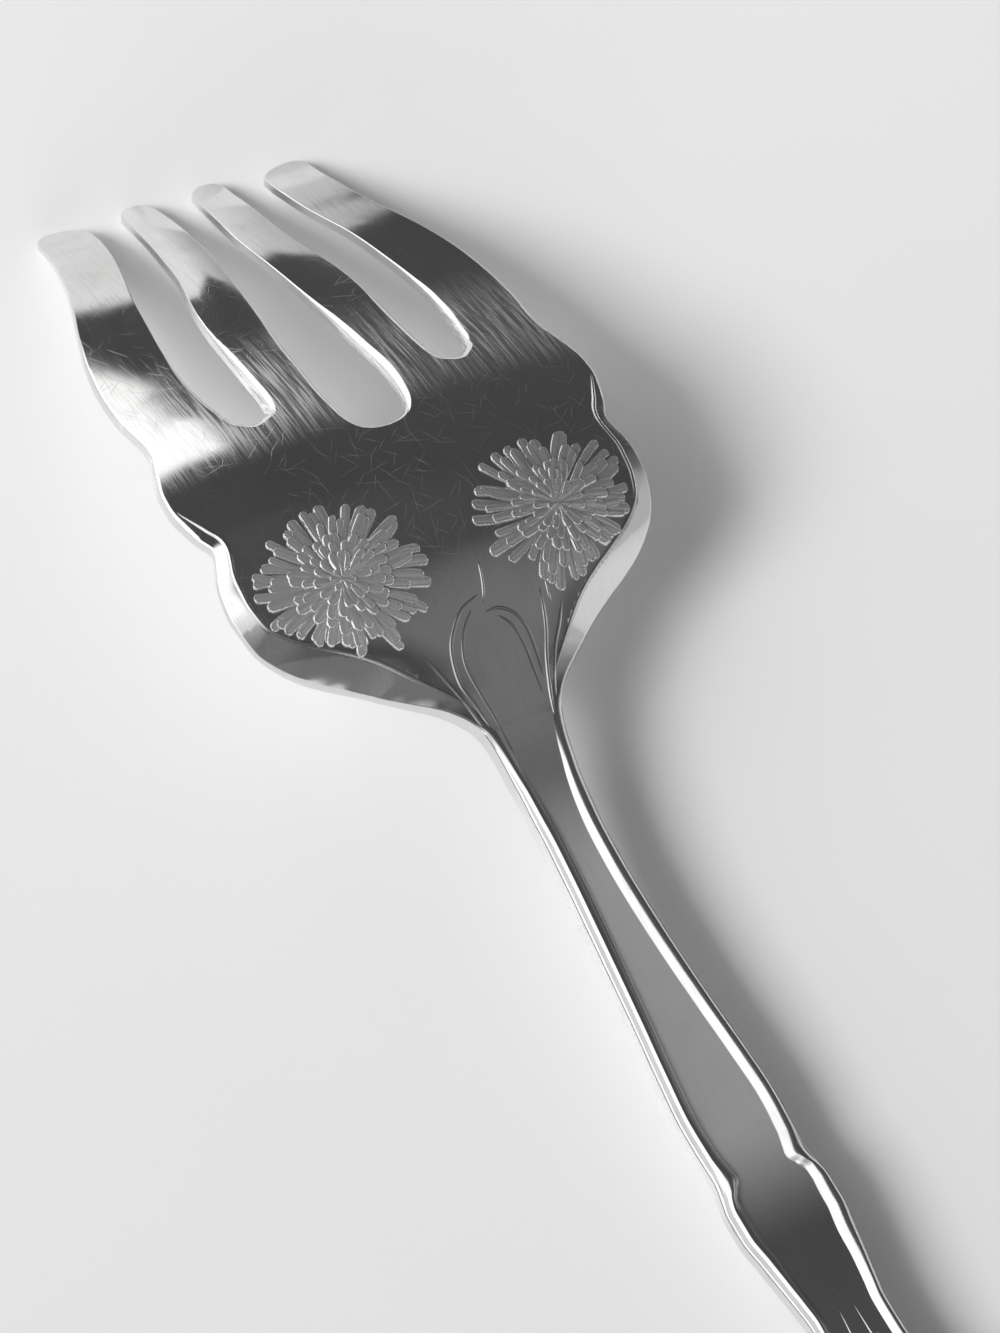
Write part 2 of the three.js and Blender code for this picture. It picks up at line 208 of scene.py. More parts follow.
def closed_outline(step=0.05, sigma=0.22):
    right = half_outline()
    left = right[::-1] * [-1, 1]
    p = np.concatenate([right, left[1:-1]])
    p = np.concatenate([p, p[:1]])
    run = np.concatenate([[0], np.cumsum(np.hypot(*np.diff(p, axis=0).T))])
    keep = np.concatenate([[True], np.diff(run) > 1e-9])
    p, run = p[keep], run[keep]
    n = int(round(run[-1] / step))
    t = np.arange(n) * run[-1] / n
    q = np.stack([np.interp(t, run, p[:, 0]), np.interp(t, run, p[:, 1])], 1)
    k = int(round(4 * sigma / step))
    w = np.exp(-0.5 * (np.arange(-k, k + 1) * step / sigma) ** 2)
    w /= w.sum()
    wrapped = np.concatenate([q[-k:], q, q[:k]])
    line = np.stack([np.convolve(wrapped[:, i], w, mode="valid") for i in (0, 1)], 1)
    line[:, 0] *= 28.17 / np.abs(line[:, 0]).max()
    return line


LINE = closed_outline()
LINE_T = np.roll(LINE, -1, 0) - np.roll(LINE, 1, 0)
LINE_T /= np.hypot(LINE_T[:, 0], LINE_T[:, 1])[:, None]
LINE_IN = np.stack([-LINE_T[:, 1], LINE_T[:, 0]], 1)
TREE = KDTree(len(LINE))
for index, point in enumerate(LINE):
    TREE.insert((point[0], point[1], 0), index)
TREE.balance()


def inset(x, s):
    """Distance to the outline, and the direction in which it grows."""
    x, s = np.asarray(x, float).ravel(), np.asarray(s, float).ravel()
    near = np.array([TREE.find((a, b, 0))[1] for a, b in zip(x, s)], int)
    p = np.stack([x, s], 1)
    best = np.full(len(p), 1e9)
    foot = LINE[near].copy()
    n = len(LINE)
    for a, b in ((near, (near + 1) % n), ((near - 1) % n, near)):
        e = LINE[b] - LINE[a]
        t = np.clip(((p - LINE[a]) * e).sum(1) / (e * e).sum(1), 0, 1)
        q = LINE[a] + e * t[:, None]
        d = np.hypot(*(p - q).T)
        foot[d < best] = q[d < best]
        best = np.minimum(best, d)
    way = p - foot
    far = best > 1e-4
    way[far] /= best[far][:, None]
    way[~far] = LINE_IN[near[~far]]
    return best, way


# ---- heights --------------------------------------------------------------------------------

def field(x, s):
    """The back without its edges; the inner tines are a little rounded across."""
    x, s = np.asarray(x, float), np.asarray(s, float)
    left, right = middle_slot(np.maximum(s, 158)), inner_tine_outer(np.maximum(s, 164))
    across = np.clip((2 * np.abs(x) - left - right) / (right - left), -1.1, 1.1)
    inner = np.abs(x) < (outer_tine_inner(np.maximum(s, 162)) + inner_tine_outer(np.maximum(s, 162))) / 2
    crown = np.where(inner, np.where(x < 0, 0.2, 0.06) * smooth(162, 178, s) * across ** 2, 0)
    return profile(s) - 0.014 - side_fall(s) * (x / 26.0) ** 2 - crown


def rolled(d, s, part=1.0):
    """Fall of the border, or of a part of it, and of the shoulder, by distance from the outline."""
    w = np.maximum(border_width(s), 1e-3)
    on = (s > BORDER_FALL[0][0]) & (s < BORDER_FALL[-1][0])
    border = np.where(on, border_fall(s) * np.clip(1 - d / w, 0, 1) ** 1.05, 0)
    on = (s > SHOULDER_FALL[0][0]) & (s < SHOULDER_FALL[-1][0])
    return part * border + np.where(on, shoulder_fall(s) * np.clip(1 - d / SHOULDER_WIDTH, 0, 1) ** 2, 0)


def edge_radius(x, s):
    """The slots are rounded more than the outer outline."""
    outer = np.abs(x) > (half_width(s) + outer_tine_inner(np.maximum(s, 163.5))) / 2
    return np.where(outer & (s > 150), np.minimum(edge_round(s), 0.4), edge_round(s))


def edge(d, r):
    q = np.clip(1 - d / r, 0, 1)
    return r * (1 - np.sqrt(np.maximum(1 - q * q, 0)))


def edge_slope(d, r):
    q = np.clip(1 - d / r, 0, 0.9995)
    return np.where(d < r, -q / np.sqrt(1 - q * q), 0)


def slopes(f, x, s, h=0.02):
    return (f(x + h, s) - f(x - h, s)) / (2 * h), (f(x, s + h) - f(x, s - h)) / (2 * h)


def unit(v):
    return v / np.maximum(np.linalg.norm(v, axis=1), 1e-12)[:, None]


def upper(x, s, d, way):
    """Plain back of the fork and its normals."""
    h = 0.02
    r = edge_radius(x, s)
    z = field(x, s) - rolled(d, s) - edge(d, r)
    fx, fs = slopes(field, x, s)
    low, high = np.maximum(d - h, 0), d + h
    gd = -(rolled(high, s) - rolled(low, s)) / (high - low) - edge_slope(d, r)
    gs = -(rolled(d, s + h) - rolled(d, s - h)) / (2 * h)
    gx, gy = fx + gd * way[:, 0], fs + gs + gd * way[:, 1]
    return z, unit(np.stack([-gx, -gy, np.ones_like(gx)], 1))


def lower(x, s, d, way):
    """Plain underside and its normals; it follows a part of the border's fall, so that the edge thins out."""
    h = 0.02
    part = 0.05 + 0.32 * smooth(119, 125, s) * (1 - smooth(130, 137, s))
    z0 = field(x, s) - rolled(d, s, part) - thickness(s)
    flat = (s <= 10) | (z0 <= 0)
    r = np.full_like(s, LOWER_EDGE_RADIUS)
    z = np.where(flat, 0, z0) + edge(d, r)
    fx, fs = slopes(lambda a, b: field(a, b) - thickness(b), x, s)
    low, high = np.maximum(d - h, 0), d + h
    gd = -(rolled(high, s, part) - rolled(low, s, part)) / (high - low)
    gs = -(rolled(d, s + h, part) - rolled(d, s - h, part)) / (2 * h)
    fx, fs, gd, gs = [np.where(flat, 0, v) for v in (fx, fs, gd, gs)]
    gd = gd + edge_slope(d, r)
    gx, gy = fx + gd * way[:, 0], fs + gs + gd * way[:, 1]
    return z, unit(np.stack([gx, gy, -np.ones_like(gx)], 1))


# ---- triangles over the plan ----------------------------------------------------------------

class Near:
    """Points kept at least a given distance apart."""

    def __init__(self, cell=0.3):
        self.cell, self.cells = cell, {}

    def clear(self, p, r):
        c = self.cell
        i, j = int(math.floor(p[0] / c)), int(math.floor(p[1] / c))
        k = int(math.ceil(r / c))
        for a in range(i - k, i + k + 1):
            for b in range(j - k, j + k + 1):
                for q in self.cells.get((a, b), ()):
                    if (q[0] - p[0]) ** 2 + (q[1] - p[1]) ** 2 < r * r:
                        return False
        return True

    def add(self, p):
        c = self.cell
        self.cells.setdefault((int(math.floor(p[0] / c)), int(math.floor(p[1] / c))), []).append((p[0], p[1]))


def plan():
    """Points and triangles of the whole fork seen from above, with rings of points along the outline."""
    n = len(LINE)
    bend = np.hypot(*(np.roll(LINE_T, -4, 0) - np.roll(LINE_T, 4, 0)).T) / (8 * 0.05)
    k = np.ones(41) / 41
    bend = np.convolve(np.concatenate([bend[-20:], bend, bend[:20]]), k, mode="valid")
    spacing = np.clip(0.22 / np.maximum(bend, 1e-3), 0.12, 0.34)
    forced = set()
    for cut in CUTS:
        side = LINE[:, 1] > cut
        forced |= set(np.nonzero(side != np.roll(side, -1))[0].tolist())
    chosen, gap = [], 1e9
    for i in range(n):
        gap += 0.05
        if i in forced:
            if chosen and gap < 0.09:
                chosen.pop()
            chosen.append(i)
            gap = 0.0
        elif gap >= spacing[i]:
            chosen.append(i)
            gap = 0.0
    chosen = np.array(chosen)
    rim = LINE[chosen].copy()
    on_cut = {}
    for a, i in enumerate(chosen):
        if int(i) in forced:
            p, q = LINE[i], LINE[(i + 1) % n]
            for cut in CUTS:
                if (p[1] > cut) != (q[1] > cut):
                    t = (cut - p[1]) / (q[1] - p[1])
                    rim[a] = p + (q - p) * t
                    rim[a, 1] = cut
                    on_cut.setdefault(cut, []).append(a)
    points = [tuple(p) for p in rim]
    near = Near()
    for p in points:
        near.add(p)
    edges = [(i, (i + 1) % len(rim)) for i in range(len(rim))]
    rings = [0.05, 0.12, 0.21, 0.32, 0.45, 0.6, 0.78, 0.98, 1.2, 1.45, 1.7, 1.95, 2.25]
    # cut lines
    for cut, ends in on_cut.items():
        ends = sorted(ends, key=lambda a: rim[a, 0])
        for a, b in zip(ends[::2], ends[1::2]):
            x0, x1 = rim[a, 0], rim[b, 0]
            sides = [x0 + r for r in rings if r < (x1 - x0) / 2] + [x1 - r for r in rings if r < (x1 - x0) / 2]
            inner = np.arange(x0 + rings[-1] + 0.35, x1 - rings[-1] - 0.2, 0.38).tolist()
            xs = sorted(sides + inner)
            kept = []
            for x in xs:
                if not kept or x - kept[-1] > 0.04:
                    kept.append(x)
            last = a
            for x in kept:
                points.append((x, cut))
                near.add((x, cut))
                edges.append((last, len(points) - 1))
                last = len(points) - 1
            edges.append((last, b))
    cuts = np.array(CUTS)
    for r in rings:
        cand = LINE[chosen] + LINE_IN[chosen] * r
        d, _ = inset(cand[:, 0], cand[:, 1])
        gap = min(0.14, 0.05 + 0.07 * r)
        for p, ok in zip(cand, d > r - 0.004):
            if ok and np.abs(cuts - p[1]).min() > 0.08 and near.clear(p, gap):
                points.append((p[0], p[1]))
                near.add(p)
    h = 0.42
    lattice = []
    for j, s in enumerate(np.arange(0.5, 211, h * 0.8660254)):
        for x in np.arange(-28.5, 28.5, h) + (h / 2 if j % 2 else 0):
            lattice.append((x, s))
    lattice = np.array(lattice)
    rough = np.abs(lattice[:, 0]) < np.where(lattice[:, 1] < 150, half_width(lattice[:, 1]), 29)
    lattice = lattice[rough]
    d, way = inset(lattice[:, 0], lattice[:, 1])
    foot = lattice - way * d[:, None]
    # inside if the outline's inward side faces the point
    idx = np.array([TREE.find((a, b, 0))[1] for a, b in foot], int)
    inside = ((lattice - LINE[idx]) * LINE_IN[idx]).sum(1) > 0
    for p, ok in zip(lattice, inside & (d > 0.4)):
        if ok and np.abs(cuts - p[1]).min() > 0.15 and near.clear(p, 0.24):
            points.append((p[0], p[1]))
            near.add(p)
    verts, _, faces, _, _, _ = delaunay_2d_cdt([Vector(p) for p in points], edges, [], 1, 1e-6)
    pts = np.array([(v.x, v.y) for v in verts])
    tris = np.array([f for f in faces if len(f) == 3], int)
    a, b, c = pts[tris[:, 0]], pts[tris[:, 1]], pts[tris[:, 2]]
    area = (b[:, 0] - a[:, 0]) * (c[:, 1] - a[:, 1]) - (b[:, 1] - a[:, 1]) * (c[:, 0] - a[:, 0])
    tris[area < 0] = tris[area < 0][:, ::-1]
    return pts, tris[np.abs(area) > 1e-7]


# ---- meshes -----------------------------------------------------------------------------------

def boundary(tris):
    """Directed edges that only one triangle has, with the triangles to their left."""
    e = np.concatenate([tris[:, [0, 1]], tris[:, [1, 2]], tris[:, [2, 0]]])
    n = int(e.max()) + 1
    key, back = e[:, 0] * n + e[:, 1], e[:, 1] * n + e[:, 0]
    return e[~np.isin(key, back)]


def prism(name, pts, tris, zt, nt, zb, nb, outward, marks=None):
    """A closed body over plan triangles, between an upper and a lower surface.
    outward gives the side normal for boundary points, or None for a plane across Y."""
    used, flat = np.unique(tris, return_inverse=True)
    tris = flat.reshape(-1, 3)
    p, zt, nt, zb, nb = pts[used], zt[used], nt[used], zb[used], nb[used]
    n = len(used)
    rim = boundary(tris)
    top = np.stack([p[:, 0], p[:, 1] - MID, zt], 1)
    bottom = np.stack([p[:, 0], p[:, 1] - MID, zb], 1)
    co = np.concatenate([top, bottom]) * MM
    low = tris[:, ::-1] + n
    wall = np.stack([rim[:, 1], rim[:, 0], rim[:, 0] + n, rim[:, 1] + n], 1)
    mesh = bpy.data.meshes.new(name)
    loops = np.concatenate([tris.ravel(), low.ravel(), wall.ravel()]).astype(np.int32)
    sizes = np.concatenate([np.full(2 * len(tris), 3), np.full(len(wall), 4)]).astype(np.int32)
    starts = np.concatenate([[0], np.cumsum(sizes)[:-1]]).astype(np.int32)
    mesh.vertices.add(len(co))
    mesh.vertices.foreach_set("co", co.astype(np.float32).ravel())
    mesh.loops.add(len(loops))
    mesh.loops.foreach_set("vertex_index", loops)
    mesh.polygons.add(len(sizes))
    mesh.polygons.foreach_set("loop_start", starts)
    mesh.polygons.foreach_set("use_smooth", np.ones(len(sizes), bool))
    mesh.update(calc_edges=True)
    # normals, one for each corner
    side = np.zeros((len(rim), 3))
    run = p[rim[:, 1]] - p[rim[:, 0]]
    side[:, 0], side[:, 1] = run[:, 1], -run[:, 0]
    side = unit(side)
    corner = np.repeat(side, 4, axis=0).reshape(-1, 4, 3)
    if outward is not None:
        o = outward[used]
        for k in range(4):
            v = wall[:, k] % n
            known = np.linalg.norm(o[v], axis=1) > 0.5
            agree = known & ((o[v] * side).sum(1) > 0.5)
            corner[agree, k] = o[v][agree]
    normals = np.concatenate([nt[tris.ravel()], nb[low.ravel() - n], corner.reshape(-1, 3)])
    # a flat map: the upper side with its walls unrolled outwards, and the lower side next to it
    wide = np.ptp(p[:, 0]) + 8
    uv_top = p.copy()
    uv_low = np.stack([-p[:, 0] + 2 * p[:, 0].max() + wide - np.ptp(p[:, 0]) + 4, p[:, 1]], 1)
    deep = np.maximum(zt - zb, 0.02)
    uv_wall = np.stack([uv_top[wall[:, 0]], uv_top[wall[:, 1]],
                        uv_top[wall[:, 1]] + side[:, :2] * deep[wall[:, 1]][:, None],
                        uv_top[wall[:, 0]] + side[:, :2] * deep[wall[:, 0]][:, None]], 1)
    uv = np.concatenate([uv_top[tris.ravel()], uv_low[low.ravel() - n], uv_wall.reshape(-1, 2)])
    lo, span = uv.min(0), np.ptp(uv, axis=0).max()
    uv = (uv - lo) / span * 0.98 + 0.01
    layer = mesh.uv_layers.new(name="OFBake")
    layer.data.foreach_set("uv", uv.astype(np.float32).ravel())
    for mark, values in (marks or {}).items():
        a = mesh.attributes.new(mark, "FLOAT", "POINT")
        a.data.foreach_set("value", np.concatenate([values[used], values[used]]).astype(np.float32))
    mesh.normals_split_custom_set(normals.astype(np.float32).tolist())
    mesh.validate(clean_customdata=False)
    obj = bpy.data.objects.new(name, mesh)
    bpy.context.scene.collection.objects.link(obj)
    return obj


PIECES = []


def keep(obj, slot, material, *nodes):
    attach(obj, "root")
    if nodes:
        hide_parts(*nodes)
    obj.data.materials.append(material)
    PIECES.append(obj)
    return obj


# ---- relief -----------------------------------------------------------------------------------

def back(x, s):
    """Plain back with its rolled border, at any points."""
    d, _ = inset(x, s)
    return (field(x.ravel(), s.ravel()) - rolled(d, s.ravel()) - edge(d, edge_radius(x.ravel(), s.ravel()))).reshape(x.shape)


def curve(points, step=0.12):
    """Smooth line through points, evenly stepped."""
    p = np.array(points, float)
    q = np.concatenate([[2 * p[0] - p[1]], p, [2 * p[-1] - p[-2]]])
    out = []
    for i in range(len(p) - 1):
        a, b, c, d = q[i:i + 4]
        t = np.linspace(0, 1, 60, endpoint=False)[:, None]
        out.append(0.5 * (2 * b + (c - a) * t + (2 * a - 5 * b + 4 * c - d) * t ** 2 + (3 * b - a - 3 * c + d) * t ** 3))
    out = np.concatenate(out + [p[-1:]])
    run = np.concatenate([[0], np.cumsum(np.hypot(*np.diff(out, axis=0).T))])
    n = max(8, int(run[-1] / step))
    t = np.linspace(0, run[-1], n)
    return np.stack([np.interp(t, run, out[:, 0]), np.interp(t, run, out[:, 1])], 1), t / run[-1]


def ridge(line, along, half, height, columns=9, taper=(0.15, 0.15), lean=0.0):
    """Plan grid of a ridge that follows a line on the back: points, triangles and heights."""
    tangent = np.gradient(line, axis=0)
    tangent /= np.hypot(*tangent.T)[:, None]
    out = np.stack([tangent[:, 1], -tangent[:, 0]], 1)
    ends = np.clip(along / max(taper[0], 1e-6), 0, 1) * np.clip((1 - along) / max(taper[1], 1e-6), 0, 1)
    ends = ends ** 0.6
    half = np.broadcast_to(half, along.shape) * (0.25 + 0.75 * ends)
    u = np.linspace(-1, 1, columns)
    pts = line[:, None, :] + out[:, None, :] * (u[None, :, None] * half[:, None, None])
    shape = np.cos(np.clip(u - lean * (1 - u * u), -1, 1) * math.pi / 2) ** 1.3
    rise = np.broadcast_to(height, along.shape)[:, None] * ends[:, None] * shape[None, :]
    n, m = len(line), columns
    i = np.arange(n - 1)[:, None] * m + np.arange(m - 1)[None, :]
    a, b, c, d = i.ravel(), i.ravel() + 1, i.ravel() + m, i.ravel() + m + 1
    tris = np.concatenate([np.stack([a, b, d], 1), np.stack([a, d, c], 1)])
    return pts.reshape(-1, 2), tris, rise.ravel()


def grid_normals(pts, tris, z):
    """Normals of a height field from its own triangles, weighted by area."""
    co = np.stack([pts[:, 0], pts[:, 1], z], 1)
    f = np.cross(co[tris[:, 1]] - co[tris[:, 0]], co[tris[:, 2]] - co[tris[:, 0]])
    n = np.zeros_like(co)
    for k in range(3):
        np.add.at(n, tris[:, k], f)
    return unit(n)


def relief_piece(name, parts, slot, material, *nodes, sink=0.02, deep=0.12):
    """One piece made of ridges laid onto the back."""
    pts, tris, z, low, cavity, at = [], [], [], [], [], 0
    for p, t, rise in parts:
        a, b = p[t[:, 1]] - p[t[:, 0]], p[t[:, 2]] - p[t[:, 0]]
        turned = a[:, 0] * b[:, 1] - a[:, 1] * b[:, 0]
        t = np.where((turned < 0)[:, None], t[:, ::-1], t)
        base = back(p[:, 0], p[:, 1])
        pts.append(p), tris.append(t + at), z.append(base + rise - sink), low.append(base - deep)
        # mask for the darker colour low on each ridge: tarnish, and painted shade
        cavity.append(1 - np.clip(rise / max(float(rise.max()), 1e-6), 0, 1))
        at += len(p)
    pts, tris, z, low = np.concatenate(pts), np.concatenate(tris), np.concatenate(z), np.concatenate(low)
    nt = grid_normals(pts, tris, z)
    nb = np.tile([0.0, 0.0, -1.0], (len(pts), 1))
    obj = prism(name, pts, tris, z, nt, low, nb, None, {"cavity": np.concatenate(cavity)})
    return keep(obj, slot, material, *nodes)


def petals(seed, rx, ry, rings, allow=None):
    """A list of petals: angle, reach, half width, bend, ground, lift of the tip and swell, outer ones first."""
    rng = np.random.RandomState(seed)
    made = []
    for count, reach, wide, ground, lift in rings:
        start = rng.uniform(0, 2 * math.pi)
        for i in range(count):
            a = start + (i + rng.uniform(-0.22, 0.22)) * 2 * math.pi / count
            size = 1.0 / math.hypot(math.cos(a) / rx, math.sin(a) / ry)
            r = size * reach * (1 + rng.uniform(-0.08, 0.08))
            if allow is not None:
                r = min(r, allow(a) * (0.94 + 0.06 * rng.uniform(0, 1)))
            made.append((a, r, wide * rng.uniform(0.82, 1.1), rng.uniform(-0.14, 0.14),
                         ground + rng.uniform(-0.012, 0.012), lift * rng.uniform(0.75, 1.2), rng.uniform(0.12, 0.2)))
    return made


def flower_height(dx, dy, made):
    """Relief of layered petals around the origin: each rises to its round tip and lies over those outside it."""
    r = np.hypot(dx, dy)
    a = np.arctan2(dy, dx)
    z = np.zeros_like(r)
    for angle, reach, half, bend, ground, lift, swell in made:
        off = (a - angle + math.pi) % (2 * math.pi) - math.pi
        t = r / reach
        off = off - bend * t * t
        near = (np.abs(off) < 1.2) & (t < 1)
        across = np.abs(r[near] * np.sin(off[near]))
        rr, tt = r[near], t[near]
        shape = half * (0.3 + 0.7 * smooth(0.1, 0.8, tt))
        end = np.clip((rr - (reach - 0.8 * half)) / (0.8 * half), 0, 1)
        shape = shape * np.sqrt(1 - end * end)
        gap = shape - across
        side = np.clip(across / np.maximum(shape, 1e-6), 0, 1)
        top = ground + lift * tt ** 1.5 + swell * (1 - side * side)
        # the tip turns up into a narrow lip
        top = top + 0.1 * smooth(0.55, 0.95, tt) * np.exp(-((gap - 0.13) / 0.1) ** 2)
        over = smooth(0.0, 0.11, gap)
        z[near] = np.where(gap > 0, z[near] + (np.maximum(top, 0.85 * z[near]) - z[near]) * over, z[near])
    return z


def flower_piece(name, cx, cs, made, reach, slot, material, *nodes, pitch=0.08, dome=0.0):
    n = int(reach / pitch) + 2
    g = (np.arange(-n, n + 1)) * pitch
    gx, gy = np.meshgrid(g, g)
    crown = lambda x, y: dome * np.clip(1 - (x * x + y * y) / (0.55 * reach) ** 2, 0, 1)
    h = lambda x, y: flower_height(x, y, made) + crown(x, y) * (flower_height(x, y, made) > 0)
    z = h(gx, gy)
    e = 0.035
    hx = (h(gx + e, gy) - h(gx - e, gy)) / (2 * e)
    hy = (h(gx, gy + e) - h(gx, gy - e)) / (2 * e)
    m = len(g)
    live = z > 0.004
    for _ in range(2):
        live = live | np.roll(live, 1, 0) | np.roll(live, -1, 0) | np.roll(live, 1, 1) | np.roll(live, -1, 1)
    cell = live[:-1, :-1] & live[1:, :-1] & live[:-1, 1:] & live[1:, 1:]
    j, i = np.nonzero(cell)
    a, b, c, d = j * m + i, j * m + i + 1, (j + 1) * m + i, (j + 1) * m + i + 1
    odd = (i + j) % 2 == 1
    first = np.where(odd[:, None], np.stack([a, b, c], 1), np.stack([a, b, d], 1))
    second = np.where(odd[:, None], np.stack([b, d, c], 1), np.stack([a, d, c], 1))
    tris = np.concatenate([first, second])
    pts = np.stack([gx.ravel() + cx, gy.ravel() + cs], 1)
    used = np.unique(tris)
    base = np.zeros(len(pts))
    nx, ny = np.zeros(len(pts)), np.zeros(len(pts))
    ux, us = pts[used, 0], pts[used, 1]
    base[used] = back(ux, us)
    k = 0.05
    nx[used] = (back(ux + k, us) - back(ux - k, us)) / (2 * k)
    ny[used] = (back(ux, us + k) - back(ux, us - k)) / (2 * k)
    nt = unit(np.stack([-(nx + hx.ravel()), -(ny + hy.ravel()), np.ones(len(pts))], 1))
    nb = np.tile([0.0, 0.0, -1.0], (len(pts), 1))
    zt = base + z.ravel() - 0.012
    # mask for the darker colour in the low parts between petals: tarnish, and painted shade
    cavity = 1 - np.clip(z.ravel() / 0.3, 0, 1)
    obj = prism(name, pts, tris, zt, nt, base - 0.1, nb, None, {"cavity": cavity})
    return keep(obj, slot, material, *nodes)


# ---- materials --------------------------------------------------------------------------------

class Nodes:
    def __init__(self, name):
        self.material = bpy.data.materials.new(name)
        self.material.use_nodes = True
        self.tree = self.material.node_tree
        self.shader = self.tree.nodes["Principled BSDF"]

    def add(self, kind, **values):
        node = self.tree.nodes.new(kind)
        for key, value in values.items():
            if hasattr(node, key):
                setattr(node, key, value)
            else:
                node.inputs[key.replace("_", " ")].default_value = value
        return node

    def link(self, a, b):
        self.tree.links.new(a, b)

    def math(self, op, a, b=None, clamp=False):
        node = self.tree.nodes.new("ShaderNodeMath")
        node.operation, node.use_clamp = op, clamp
        for k, v in enumerate((a, b)):
            if v is None:
                continue
            if isinstance(v, (int, float)):
                node.inputs[k].default_value = v
            else:
                self.link(v, node.inputs[k])
        return node.outputs[0]

    def range(self, value, a, b, c=0.0, d=1.0, kind="SMOOTHSTEP"):
        node = self.tree.nodes.new("ShaderNodeMapRange")
        node.interpolation_type = kind
        self.link(value, node.inputs["Value"])
        for key, v in (("From Min", a), ("From Max", b), ("To Min", c), ("To Max", d)):
            node.inputs[key].default_value = v
        return node.outputs["Result"]

    def mapping(self, source, scale, turn=0.0, shift=(0, 0, 0)):
        node = self.tree.nodes.new("ShaderNodeMapping")
        self.link(source, node.inputs["Vector"])
        node.inputs["Scale"].default_value = scale
        node.inputs["Rotation"].default_value = (0, 0, turn)
        node.inputs["Location"].default_value = shift
        return node.outputs["Vector"]

    def noise(self, source, scale, detail=2.0, rough=0.5, distortion=0.0):
        node = self.tree.nodes.new("ShaderNodeTexNoise")
        self.link(source, node.inputs["Vector"])
        for key, v in (("Scale", scale), ("Detail", detail), ("Roughness", rough), ("Distortion", distortion)):
            node.inputs[key].default_value = v
        return node.outputs["Fac"]

    def strokes(self, source, turn, length, pitch, reach, shift):
        """Short straight hairlines: one in each long thin cell, length and pitch in metres."""
        turned = self.mapping(source, (1, 1, 1), turn, shift)
        stretched = self.mapping(turned, (1 / length, 1 / pitch, 1))
        node = self.tree.nodes.new("ShaderNodeTexVoronoi")
        node.voronoi_dimensions = "2D"
        self.link(stretched, node.inputs["Vector"])
        node.inputs["Scale"].default_value = 1.0
        node.inputs["Randomness"].default_value = 1.0
        return self.range(node.outputs["Distance"], reach, reach * 0.35, 0.0, 1.0, "LINEAR")


